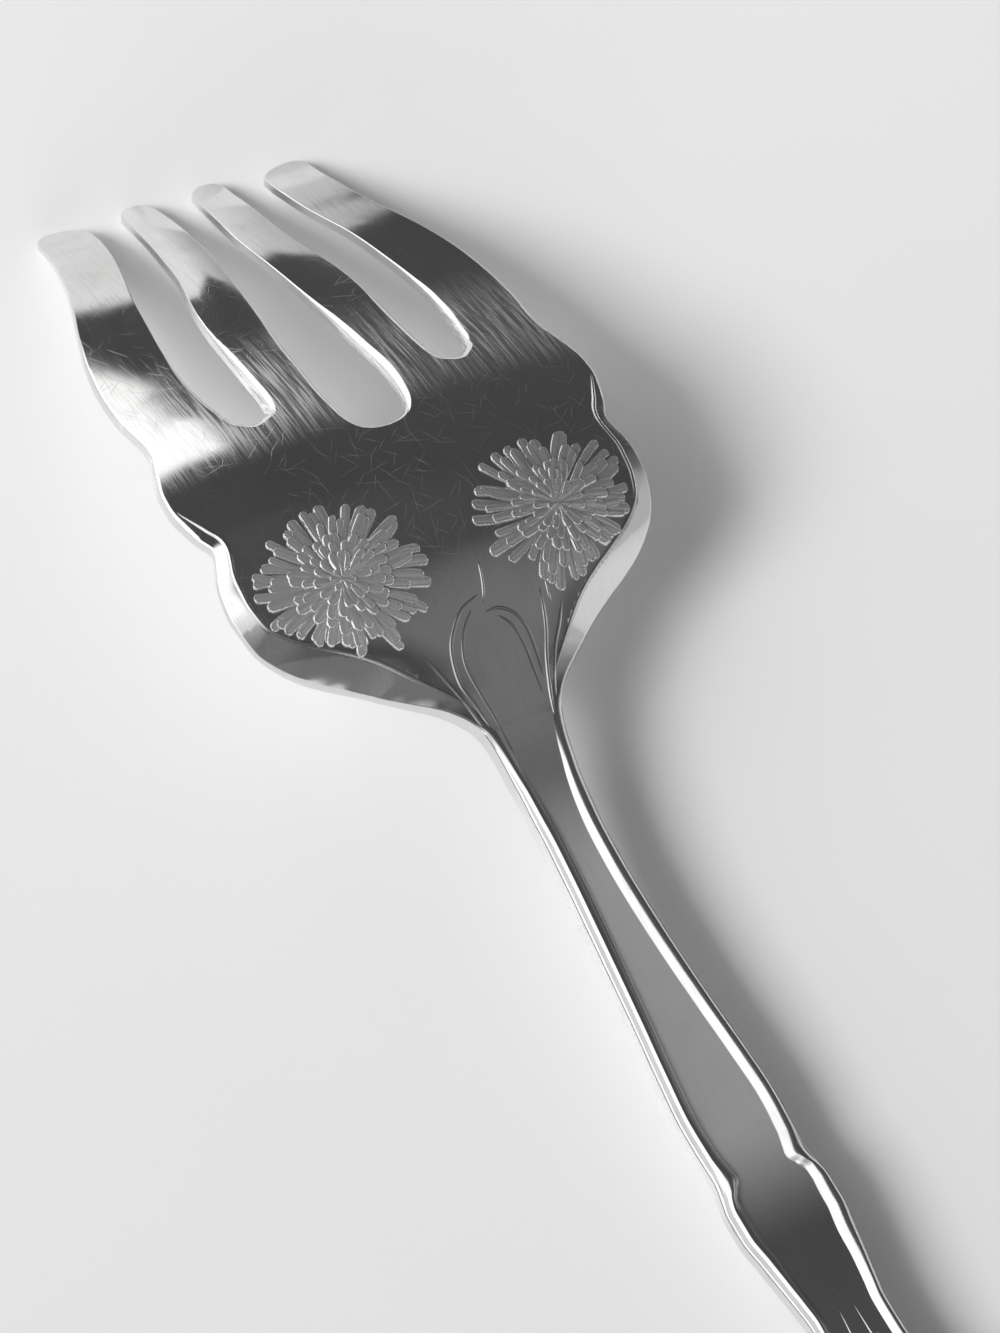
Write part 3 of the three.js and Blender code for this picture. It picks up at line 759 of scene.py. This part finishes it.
def silver(name, base, tarnish_and_shade_colour, rough, relief=False, matt=0.0):
    n = Nodes(name)
    place = n.add("ShaderNodeTexCoord").outputs["Object"]
    # slow bending of the hairlines
    warp = n.tree.nodes.new("ShaderNodeVectorMath")
    warp.operation = "MULTIPLY_ADD"
    wob = n.tree.nodes.new("ShaderNodeTexNoise")
    wob.inputs["Scale"].default_value = 40
    wob.inputs["Detail"].default_value = 0
    n.link(place, wob.inputs["Vector"])
    n.link(wob.outputs["Color"], warp.inputs[0])
    warp.inputs[1].default_value = (0.00015, 0.00015, 0.0)
    n.link(place, warp.inputs[2])
    bent = warp.outputs[0]
    marks = None
    layers = [
        (0.35, 0.060, 0.00085, 0.040, (0.013, 0.004, 0)),
        (1.05, 0.045, 0.00080, 0.045, (0.031, 0.017, 0)),
        (1.75, 0.080, 0.00090, 0.038, (0.007, 0.041, 0)),
        (2.45, 0.035, 0.00070, 0.045, (0.023, 0.029, 0)),
        (2.95, 0.055, 0.00085, 0.040, (0.051, 0.011, 0)),
        (0.75, 0.025, 0.00080, 0.050, (0.043, 0.037, 0)),
        (2.10, 0.030, 0.00070, 0.048, (0.019, 0.047, 0)),
        (1.40, 0.070, 0.00090, 0.040, (0.037, 0.023, 0)),
    ]
    for turn, length, pitch, reach, shift in layers:
        s = n.strokes(bent, turn, length, pitch, reach, shift)
        marks = s if marks is None else n.math("MAXIMUM", marks, s)
    # worn patches hold more hairlines
    worn = n.range(n.noise(place, 70, 2.0, 0.5), 0.36, 0.62)
    split = n.add("ShaderNodeSeparateXYZ")
    n.link(place, split.inputs[0])
    held = n.math("MULTIPLY", n.range(split.outputs["Y"], 0.018, 0.044, 0.06, 1.0), n.range(split.outputs["Y"], 0.088, 0.076, 0.15, 1.0))
    fine = n.math("MULTIPLY", n.math("MULTIPLY", marks, held), n.math("ADD", n.math("MULTIPLY", worn, 0.8), 0.2))
    # streaks of polishing along the tines, strongest at the roots of the slots
    roots = n.math("MULTIPLY", n.range(split.outputs["Y"], 0.046, 0.058), n.range(split.outputs["Y"], 0.085, 0.066))
    streak = n.strokes(place, 1.5708, 0.040, 0.00026, 0.07, (0.003, 0.002, 0))
    streak = n.math("MAXIMUM", streak, n.strokes(place, 1.44, 0.030, 0.00027, 0.07, (0.017, 0.009, 0)))
    streak = n.math("MAXIMUM", streak, n.strokes(place, 1.70, 0.034, 0.00027, 0.07, (0.029, 0.013, 0)))
    streak = n.math("MULTIPLY", streak, roots)
    fine = n.math("MAXIMUM", fine, n.math("MULTIPLY", streak, 0.4))
    # polish runs along the fork
    brushed = n.noise(n.mapping(place, (4200, 90, 300)), 1.0, 3.0, 0.55)
    cloud = n.noise(place, 220, 3.0, 0.6)
    film = n.noise(place, 38, 3.0, 0.55)
    # base colour: clean silver, with a grey film that is thicker in patches
    mix = n.tree.nodes.new("ShaderNodeMix")
    mix.data_type = "RGBA"
    mix.inputs["A"].default_value = base
    mix.inputs["B"].default_value = tarnish_and_shade_colour
    tarnish_and_shade = n.math("MULTIPLY", n.range(film, 0.42, 0.78), 0.3)
    tarnish_and_shade = n.math("ADD", tarnish_and_shade, n.math("MULTIPLY", n.range(cloud, 0.5, 0.8), 0.12))
    tarnish_and_shade = n.math("ADD", tarnish_and_shade, n.math("MULTIPLY", n.range(brushed, 0.4, 0.75), 0.14))
    # in the relief the hollows are darker too: tarnish that silver holds there, and painted shade in the gaps between
    # petals and at the feet of ridges and rims
    if relief:
        hollow_tarnish_and_shade = n.add("ShaderNodeAttribute", attribute_name="cavity").outputs["Fac"]
        hollow_tarnish_and_shade = n.math("MULTIPLY", n.math("POWER", hollow_tarnish_and_shade, 1.6), 0.8)
        tarnish_and_shade = n.math("ADD", tarnish_and_shade, hollow_tarnish_and_shade, True)
    n.link(tarnish_and_shade, mix.inputs["Factor"])
    n.link(mix.outputs["Result"], n.shader.inputs["Base Color"])
    # roughness: polished, cloudier where it is worn, rough in the hairlines
    r = n.math("ADD", n.math("MULTIPLY", n.range(cloud, 0.3, 0.75), 0.03), rough)
    r = n.math("ADD", r, n.math("MULTIPLY", worn, 0.02))
    r = n.math("ADD", r, n.math("MULTIPLY", n.range(brushed, 0.45, 0.75), 0.03))
    r = n.math("ADD", r, n.math("MULTIPLY", fine, 0.1))
    if relief:
        r = n.math("ADD", r, n.math("MULTIPLY", tarnish_and_shade, 0.12))
    else:
        # the handle is satin from being held and rubbed, and its panel scatters some light
        y = split.outputs["Y"]
        r = n.math("ADD", r, n.range(y, 0.018, -0.006, 0.0, 0.1))
        panel = n.math("MULTIPLY", n.range(y, 0.011, -0.008), n.range(y, -0.056, -0.04))
        panel = n.math("MULTIPLY", panel, n.range(film, 0.3, 0.7, 0.28, 0.34))
        # so do the brushed roots of the tines and the hairlines
        brush = n.math("MULTIPLY", n.math("MULTIPLY", n.range(y, 0.05, 0.057), n.range(y, 0.073, 0.062)),
                       n.range(brushed, 0.4, 0.68, 0.04, 0.36))
        brush = n.math("MULTIPLY", brush, n.range(split.outputs["X"], 0.002, -0.003, 1.0, 1.7))
        scatter = n.math("ADD", n.math("MAXIMUM", panel, brush), n.math("MULTIPLY", fine, 0.15), True)
        n.link(n.math("SUBTRACT", 1.0, scatter), n.shader.inputs["Metallic"])
    n.link(r, n.shader.inputs["Roughness"])
    if relief:
        n.shader.inputs["Metallic"].default_value = 1.0 - matt
    # shallow unevenness of hand-polished plate, and the hairlines
    wave = n.noise(place, 130, 2.0, 0.45)
    bump1 = n.add("ShaderNodeBump")
    bump1.inputs["Strength"].default_value = 0.2
    bump1.inputs["Distance"].default_value = 0.0001
    n.link(wave, bump1.inputs["Height"])
    bump2 = n.add("ShaderNodeBump", invert=True)
    bump2.inputs["Strength"].default_value = 0.24
    bump2.inputs["Distance"].default_value = 0.00001
    n.link(fine, bump2.inputs["Height"])
    n.link(bump1.outputs["Normal"], bump2.inputs["Normal"])
    n.link(bump2.outputs["Normal"], n.shader.inputs["Normal"])
    return n.material


PLATE = silver("silver_plate", (0.84, 0.84, 0.835, 1), (0.55, 0.55, 0.54, 1), 0.055)
RELIEF = silver("silver_relief", (0.84, 0.84, 0.835, 1), (0.34, 0.34, 0.335, 1), 0.13, True)
FLOWER = silver("silver_flower", (0.84, 0.84, 0.835, 1), (0.34, 0.34, 0.335, 1), 0.11, True, 0.17)

# ---- the fork ---------------------------------------------------------------------------------

PTS, TRIS = plan()
DIST, WAY = inset(PTS[:, 0], PTS[:, 1])
ON_EDGE = DIST < 0.002
DIST = np.where(ON_EDGE, 0, DIST)
X, S = PTS[:, 0], PTS[:, 1]
ZT, NT = upper(X, S, DIST, WAY)
ZB, NB = lower(X, S, DIST, WAY)
OUT = np.zeros((len(PTS), 3))
OUT[ON_EDGE, 0], OUT[ON_EDGE, 1] = -WAY[ON_EDGE, 0], -WAY[ON_EDGE, 1]

mid = PTS[TRIS].mean(1)
cx, cs = mid[:, 0], mid[:, 1]
slot_mid = (outer_tine_inner(cs) + inner_tine_outer(cs)) / 2
REGION = {
    "handle_end": cs < CUTS[0],
    "handle_shank": (cs >= CUTS[0]) & (cs < CUTS[1]),
    "neck": (cs >= CUTS[1]) & (cs < CUTS[2]),
    "bowl": (cs >= CUTS[2]) & (cs < CUTS[3]),
    "tine_outer_left": (cs >= CUTS[3]) & (cx < -slot_mid),
    "tine_inner_left": (cs >= CUTS[3]) & (cx >= -slot_mid) & (cx < 0),
    "tine_inner_right": (cs >= CUTS[3]) & (cx >= 0) & (cx < slot_mid),
    "tine_outer_right": (cs >= CUTS[3]) & (cx >= slot_mid),
}
for node, mask in REGION.items():
    made = prism("silver_" + node, PTS, TRIS[mask], ZT, NT, ZB, NB, OUT)
    keep(made, "silver_plate", PLATE, node)

# Raised rims of the handle, one on each side, meeting round the end.
def rim_grid(side):
    n = len(LINE)
    on = (LINE[:, 1] < 119) & (LINE[:, 0] * side >= -1e-6)
    idx = np.nonzero(on)[0]
    # one run of neighbours along the outline
    start = [i for i in idx if (i - 1) % n not in set(idx.tolist())][0]
    run = []
    i = start
    members = set(idx.tolist())
    while i in members:
        run.append(i)
        i = (i + 1) % n
    run = np.array(run)
    fine = run[::3]
    if fine[-1] != run[-1]:
        fine = np.append(fine, run[-1])
    p, into = LINE[fine], LINE_IN[fine]
    s = p[:, 1]
    ow, iw, crest = rim_outer(s), rim_inner(s), rim_crest(s)
    u = np.array([0, 0.07, 0.13, 0.16, 0.24, 0.36, 0.48, 0.6, 0.72, 0.83, 0.92, 1.0])
    v = np.array([0.07, 0.15, 0.25, 0.36, 0.48, 0.6, 0.72, 0.82, 0.9, 0.96, 1.0, 1.04])
    cols, rise = [], []
    for q in u:
        cols.append(p + into * (ow * q)[:, None])
        # a narrow ledge, then the outer slope, steep at first and rounded over to the crest
        rise.append(-0.3 + (crest + 0.3) * (1 - (1 - max(q - 0.14, 0) / 0.86) ** 1.9))
    for q in v:
        cols.append(p + into * (ow + iw * q)[:, None])
        # inner slope, rounded off at the crest and steepest at its crisp foot
        rise.append(crest * (1 - min(q, 1.0) ** 1.5))
    pts = np.stack(cols, 1)
    z = np.stack(rise, 1)
    return pts, z, s


def rim_piece(name, side, node):
    pts, rise, s = rim_grid(side)
    rows, m = rise.shape
    flat = pts.reshape(-1, 2)
    base_field = field(flat[:, 0], flat[:, 1]).reshape(rows, m)
    plain = back(flat[:, 0], flat[:, 1]).reshape(rows, m)
    # round the crest by averaging across, weighted to the crest columns
    zt = base_field + rise
    for _ in range(3):
        blur = zt.copy()
        blur[:, 1:-1] = 0.25 * zt[:, :-2] + 0.5 * zt[:, 1:-1] + 0.25 * zt[:, 2:]
        zt[:, 8:15] = blur[:, 8:15]
    fade = smooth(118.8, 116.5, s)[:, None]
    zt = plain - 0.02 + (zt - plain + 0.02) * fade
    zt[:, -1] = plain[:, -1] - 0.02
    low = np.minimum(plain - 0.08, zt - 0.05)
    i = np.arange(rows - 1)[:, None] * m + np.arange(m - 1)[None, :]
    a, b, c, d = i.ravel(), i.ravel() + 1, i.ravel() + m, i.ravel() + m + 1
    tris = np.concatenate([np.stack([a, b, d], 1), np.stack([a, d, c], 1)])
    e1, e2 = flat[tris[:, 1]] - flat[tris[:, 0]], flat[tris[:, 2]] - flat[tris[:, 0]]
    turned = e1[:, 0] * e2[:, 1] - e1[:, 1] * e2[:, 0]
    tris = np.where((turned < 0)[:, None], tris[:, ::-1], tris)
    z = zt.ravel()
    nt = grid_normals(flat, tris, z)
    nb = np.tile([0.0, 0.0, -1.0], (len(flat), 1))
    d0, way = inset(flat[:, 0], flat[:, 1])
    out = np.zeros((len(flat), 3))
    on = d0 < 0.003
    out[on, 0], out[on, 1] = -way[on, 0], -way[on, 1]
    # the foot of the inner slope is darker: tarnish in the crease, and a painted shade line
    cavity = np.zeros((rows, m))
    cavity[:, -3:] = [0.5, 0.8, 1.0]
    obj = prism(name, flat, tris, z, nt, low.ravel(), nb, out, {"cavity": cavity.ravel() * 0.8})
    return keep(obj, "silver_relief", RELIEF, node)


rim_piece("silver_rim_left", -1, "rim_left")
rim_piece("silver_rim_right", 1, "rim_right")


# Flowers on the bowl.
def room(cx, cs):
    """How far a petal may reach before it meets the border line, by angle."""
    angles = np.linspace(-math.pi, math.pi, 181)
    reach = np.arange(4.0, 11.5, 0.1)
    gx = cx + np.cos(angles)[:, None] * reach[None, :]
    gs = cs + np.sin(angles)[:, None] * reach[None, :]
    d, _ = inset(gx, gs)
    clear = (d.reshape(gx.shape) > border_width(gs) + 0.42) & (np.abs(gx) > 2.9) & (np.abs(gx) < half_width(gs))
    far = np.array([reach[np.argmin(row)] if not row.all() else reach[-1] for row in clear])
    return lambda a: float(np.interp((a + math.pi) % (2 * math.pi) - math.pi, angles, far))


RINGS = [
    (33, 1.0, 0.66, 0.0, 0.15), (28, 0.84, 0.6, 0.03, 0.17), (23, 0.62, 0.62, 0.1, 0.21),
    (18, 0.48, 0.52, 0.14, 0.18), (14, 0.34, 0.54, 0.19, 0.16), (6, 0.15, 0.4, 0.22, 0.06),
]
for side, seed, word in ((-1, 11, "left"), (1, 29, "right")):
    fx, fs = side * 14.2, 137.7
    made = petals(seed, 10.3, 9.0, RINGS, room(fx, fs))
    flower_piece("silver_flower_" + word, fx, fs, made, 11.2, "silver_relief", FLOWER, "flower_" + word)

# Border lines, stems and leaves.
def border_line(side):
    s = np.concatenate([np.linspace(119.4, 146.6, 120), np.linspace(146.8, 153.6, 40)])
    on = []
    for a in s:
        i = int(np.argmin(np.abs(LINE[:, 1] - a) + np.where((LINE[:, 0] * side > 0) & (np.abs(LINE[:, 0]) > 3.6) & (LINE[:, 1] < 156), 0, 1e6)))
        on.append(LINE[i] + LINE_IN[i] * (float(border_width(a)) + 0.12))
    p = np.array(on)
    k = np.ones(7) / 7
    q = p.copy()
    for c in (0, 1):
        q[3:-3, c] = np.convolve(p[:, c], k, mode="valid")
    return q[::3]


lines = []
for side, word in ((-1, "left"), (1, "right")):
    line, along = curve(border_line(side))
    lines.append(("silver_border_line_" + word, [ridge(line, along, 0.24 + 0.1 * smooth(130, 140, line[:, 1]), 0.1 + 0.1 * smooth(130, 140, line[:, 1]), 11, (0.1, 0.12))]))

STEMS_LEFT = [
    ([(0.4, 131.2), (-2.2, 130.2), (-3.9, 128.6), (-5.2, 126.5), (-5.6, 123.1), (-4.7, 119.9), (-3.9, 116.2), (-3.4, 112.6)], 0.3, 0.14),
    ([(-1.0, 130.0), (-2.6, 128.4), (-3.7, 126.6), (-4.2, 124.5), (-3.8, 121.4), (-3.2, 118.3), (-2.7, 113.8)], 0.26, 0.11),
    ([(1.9, 134.4), (1.6, 132.8), (1.1, 131.2), (0.5, 130.1)], 0.22, 0.13),
    ([(-8.6, 127.2), (-7.4, 124.8), (-6.1, 121.6), (-4.9, 117.8), (-4.1, 114.0)], 0.3, 0.12),
]
STEMS_RIGHT = [
    ([(0.2, 129.1), (2.0, 129.1), (3.6, 128.1), (4.5, 126.2), (4.6, 123.4), (4.2, 120.6)], 0.26, 0.1),
    ([(1.6, 128.5), (2.9, 126.9), (3.5, 124.4), (3.5, 121.4), (3.4, 118.8)], 0.24, 0.09),
    ([(7.9, 129.8), (7.6, 128.1), (6.9, 125.5), (5.4, 122.0), (4.1, 117.8), (3.5, 114.2)], 0.3, 0.18),
    ([(10.2, 128.0), (8.9, 125.8), (6.9, 123.0), (5.2, 119.4), (4.3, 116.2)], 0.28, 0.13),
    ([(9.0, 130.4), (8.8, 129.1), (8.6, 127.8)], 0.22, 0.14),
]
for word, table in (("left", STEMS_LEFT), ("right", STEMS_RIGHT)):
    lines.append(("silver_stems_" + word,
                  [ridge(*curve(points), half, height, 11, (0.18, 0.3)) for points, half, height in table]))

# Small flower and leaves on the handle end.
END_PETALS = petals(53, 5.6, 5.6, [(19, 1.0, 0.78, 0.0, 0.13), (16, 0.74, 0.7, 0.06, 0.14), (11, 0.46, 0.6, 0.13, 0.14),
                                  (6, 0.22, 0.45, 0.18, 0.08)])
flower_piece("silver_end_flower", 0.0, 13.6, END_PETALS, 6.4, "silver_relief", FLOWER)
END_LEAVES = []
for side in (-1, 1):
    for points, half, height in (
        ([(0.8, 19.4), (1.4, 24.0), (1.5, 29.0), (1.3, 34.0), (1.05, 38.0), (0.9, 41.2)], 0.26, 0.2),
        ([(2.2, 18.8), (3.4, 22.6), (3.7, 26.4), (3.0, 30.6), (2.1, 34.6), (1.7, 37.6)], 0.26, 0.2),
        ([(3.6, 17.8), (5.4, 20.2), (6.0, 23.0), (5.4, 26.0), (4.2, 29.2)], 0.24, 0.18),
        ([(1.2, 20.4), (2.3, 24.2), (2.5, 28.0), (2.1, 32.0)], 0.2, 0.14),
    ):
        END_LEAVES.append(ridge(*curve([(side * a, b) for a, b in points]), half, height, 9, (0.12, 0.3)))
lines.append(("silver_end_leaves", END_LEAVES))

for name, parts in lines:
    relief_piece(name, parts, "silver_relief", RELIEF)

# ---- stage ------------------------------------------------------------------------------------

def floor():
    n = Nodes("table")
    place = n.add("ShaderNodeTexCoord").outputs["Object"]
    split = n.add("ShaderNodeSeparateXYZ")
    n.link(place, split.inputs[0])
    # painted light falloff: the floor's colour is lighter towards +Y and darker towards -Y, with a faint grain from the
    # noise
    falloff_and_grain = n.math("ADD", n.range(split.outputs["Y"], -0.16, 0.2, 0.0, 0.9), n.math("MULTIPLY", n.noise(place, 30, 3.0, 0.5), 0.15))
    mix = n.tree.nodes.new("ShaderNodeMix")
    mix.data_type = "RGBA"
    mix.inputs["A"].default_value = (0.75, 0.75, 0.75, 1)
    mix.inputs["B"].default_value = (0.89, 0.89, 0.89, 1)
    n.link(falloff_and_grain, mix.inputs["Factor"])
    n.link(mix.outputs["Result"], n.shader.inputs["Base Color"])
    n.shader.inputs["Roughness"].default_value = 0.9
    n.shader.inputs["Specular IOR Level"].default_value = 0.0
    mesh = bpy.data.meshes.new("table")
    mesh.from_pydata([(-4, -4, 0), (4, -4, 0), (4, 4, 0), (-4, 4, 0)], [], [(0, 1, 2, 3)])
    obj = bpy.data.objects.new("table", mesh)
    obj.location.z = -0.00005
    bpy.context.scene.collection.objects.link(obj)
    obj.data.materials.append(n.material)


floor()


def area(name, at, to, size, power, shape="RECTANGLE"):
    data = bpy.data.lights.new(name, "AREA")
    data.shape, data.size, data.size_y, data.energy = shape, size[0], size[1], power
    obj = bpy.data.objects.new(name, data)
    obj.location = at
    obj.rotation_euler = (Vector(to) - Vector(at)).to_track_quat("-Z", "Y").to_euler()
    bpy.context.scene.collection.objects.link(obj)
    return obj


def toward(azimuth, elevation):
    a, e = math.radians(azimuth), math.radians(elevation)
    return Vector((math.cos(a) * math.cos(e), math.sin(a) * math.cos(e), math.sin(e)))


# A soft key from the left and a low, broad light; neither is mirrored, the room below is.
key = area("key", toward(190, 36) * 6.0, (0, 0, 0), (2.55, 2.1), 324.0)
low_left = area("low_left", toward(245, 12) * 6.0, (0, 0, 0), (3.3, 1.35), 117.0)
for light in (key, low_left):
    light.visible_camera = light.visible_glossy = False

# The room that the metal mirrors: dark, with a pale table and wall round the horizon, a large
# window to the left and a faint glow overhead.
world = bpy.data.worlds.new("studio")
bpy.context.scene.world = world
world.use_nodes = True
tree = world.node_tree
background = tree.nodes["Background"]


def sky(op, a, b=None):
    node = tree.nodes.new("ShaderNodeMath")
    node.operation = op
    for k, v in enumerate((a, b)):
        if v is None:
            continue
        if isinstance(v, (int, float)):
            node.inputs[k].default_value = v
        else:
            tree.links.new(v, node.inputs[k])
    return node.outputs[0]


def sky_map(value, a, b, low, high, kind="SMOOTHSTEP"):
    node = tree.nodes.new("ShaderNodeMapRange")
    node.interpolation_type = kind
    tree.links.new(value, node.inputs["Value"])
    for name, v in (("From Min", a), ("From Max", b), ("To Min", low), ("To Max", high)):
        node.inputs[name].default_value = v
    return node.outputs["Result"]


def sky_glow(azimuth, elevation, wide, core, level):
    """A soft round patch of light."""
    node = tree.nodes.new("ShaderNodeVectorMath")
    node.operation = "DOT_PRODUCT"
    tree.links.new(way_node.outputs["Generated"], node.inputs[0])
    node.inputs[1].default_value = toward(azimuth, elevation)
    return sky_map(node.outputs["Value"], math.cos(math.radians(wide)), math.cos(math.radians(core)), 0.0, level)


DEG = math.pi / 180
way_node = tree.nodes.new("ShaderNodeTexCoord")
parts = tree.nodes.new("ShaderNodeSeparateXYZ")
tree.links.new(way_node.outputs["Generated"], parts.inputs[0])
# azimuth from -90 to 270 degrees, so that the left side is unbroken
azimuth = sky("ARCTAN2", parts.outputs["Y"], parts.outputs["X"])
azimuth = sky("ADD", azimuth, sky("MULTIPLY", sky("LESS_THAN", azimuth, -90 * DEG), 360 * DEG))
elevation = sky("ARCSINE", parts.outputs["Z"])
# pale wall behind the tines, its upper edge rising to the left
edge_el = sky_map(azimuth, 69.5 * DEG, 76 * DEG, 8.1 * DEG, 13 * DEG, "LINEAR")
wall = sky("MULTIPLY", sky_map(azimuth, 65 * DEG, 74 * DEG, 0.38, 0.8, "LINEAR"),
           sky_map(sky("SUBTRACT", elevation, edge_el), -0.4 * DEG, 0.5 * DEG, 1, 0))
wall = sky("MULTIPLY", wall, sky_map(azimuth, 62.3 * DEG, 63.8 * DEG, 0.22, 1))
wall = sky("MULTIPLY", wall, sky_map(azimuth, 204 * DEG, 228 * DEG, 1, 0.08))
level = sky("ADD", wall, 0.066)
# window, bright to the left and fading towards the near side
low = sky_map(azimuth, 80 * DEG, 108 * DEG, 20.5 * DEG, 6 * DEG, "LINEAR")
high = sky_map(azimuth, 84 * DEG, 140 * DEG, 33.5 * DEG, 54 * DEG, "LINEAR")
pane = sky("MULTIPLY", sky_map(sky("SUBTRACT", elevation, low), -0.8 * DEG, 0.8 * DEG, 0, 1),
           sky_map(sky("SUBTRACT", high, elevation), -3.5 * DEG, 1.5 * DEG, 0, 1))
pane = sky("MULTIPLY", pane, sky_map(azimuth, 78.4 * DEG, 80.4 * DEG, 0, 1.3))
pane = sky("MULTIPLY", pane, sky_map(azimuth, 186 * DEG, 226 * DEG, 1, 0.0, "LINEAR"))
level = sky("ADD", level, pane)
# dim near side and a grey wall to the right
near_side = sky("MULTIPLY", sky_map(azimuth, 205 * DEG, 230 * DEG, 0, 0.12), sky_map(elevation, 45 * DEG, 62 * DEG, 1, 0))
near_side = sky("MULTIPLY", near_side, sky_map(azimuth, 256 * DEG, 240 * DEG, 0.4, 1))
level = sky("ADD", level, near_side)
right_side = sky("MULTIPLY", sky_map(azimuth, 18 * DEG, -2 * DEG, 0, 0.36), sky_map(elevation, 8 * DEG, 36 * DEG, 1, 0))
level = sky("ADD", level, right_side)
# glow overhead
level = sky("ADD", level, sky_map(elevation, 58 * DEG, 67 * DEG, 0, 0.012))
level = sky("ADD", level, sky_glow(-50, 50, 24, 8, 0.12))
tree.links.new(level, background.inputs["Strength"])
background.inputs["Color"].default_value = (1, 1, 1, 1)

# Pale backdrop, seen only directly.
def backdrop():
    n = 48
    ring = [(3.0 * math.cos(2 * math.pi * i / n), 3.0 * math.sin(2 * math.pi * i / n)) for i in range(n)]
    verts = [(x, y, -0.2) for x, y in ring] + [(x, y, 3.0) for x, y in ring]
    faces = [(i, i + n, (i + 1) % n + n, (i + 1) % n) for i in range(n)]
    mesh = bpy.data.meshes.new("backdrop")
    mesh.from_pydata(verts, [], faces)
    obj = bpy.data.objects.new("backdrop", mesh)
    bpy.context.scene.collection.objects.link(obj)
    material = bpy.data.materials.new("backdrop")
    material.use_nodes = True
    shader = material.node_tree.nodes["Principled BSDF"]
    shader.inputs["Base Color"].default_value = (0, 0, 0, 1)
    shader.inputs["Specular IOR Level"].default_value = 0.0
    shader.inputs["Emission Color"].default_value = (1, 1, 1, 1)
    shader.inputs["Emission Strength"].default_value = 0.78
    obj.data.materials.append(material)
    obj.visible_diffuse = obj.visible_glossy = obj.visible_transmission = obj.visible_shadow = False


backdrop()

scene = bpy.context.scene
scene.view_settings.view_transform = "Standard"
scene.view_settings.look = "None"

camera = bpy.data.objects.new("camera", bpy.data.cameras.new("camera"))
scene.collection.objects.link(camera)
scene.camera = camera
camera.data.sensor_fit = "HORIZONTAL"
camera.data.sensor_width = 36.0
camera.data.lens = 129.6
camera.data.clip_start = 0.01
forward = Vector((0.36913766, 0.41860566, -0.82976303)).normalized()
up = Vector((0.32263657, 0.77957252, 0.53681686)).normalized()
right = forward.cross(up).normalized()
up = right.cross(forward)
camera.matrix_world = Matrix((
    (right.x, up.x, -forward.x, -0.153282),
    (right.y, up.y, -forward.y, -0.155703),
    (right.z, up.z, -forward.z, 0.359791),
    (0, 0, 0, 1),
))

bpy.context.view_layer.update()
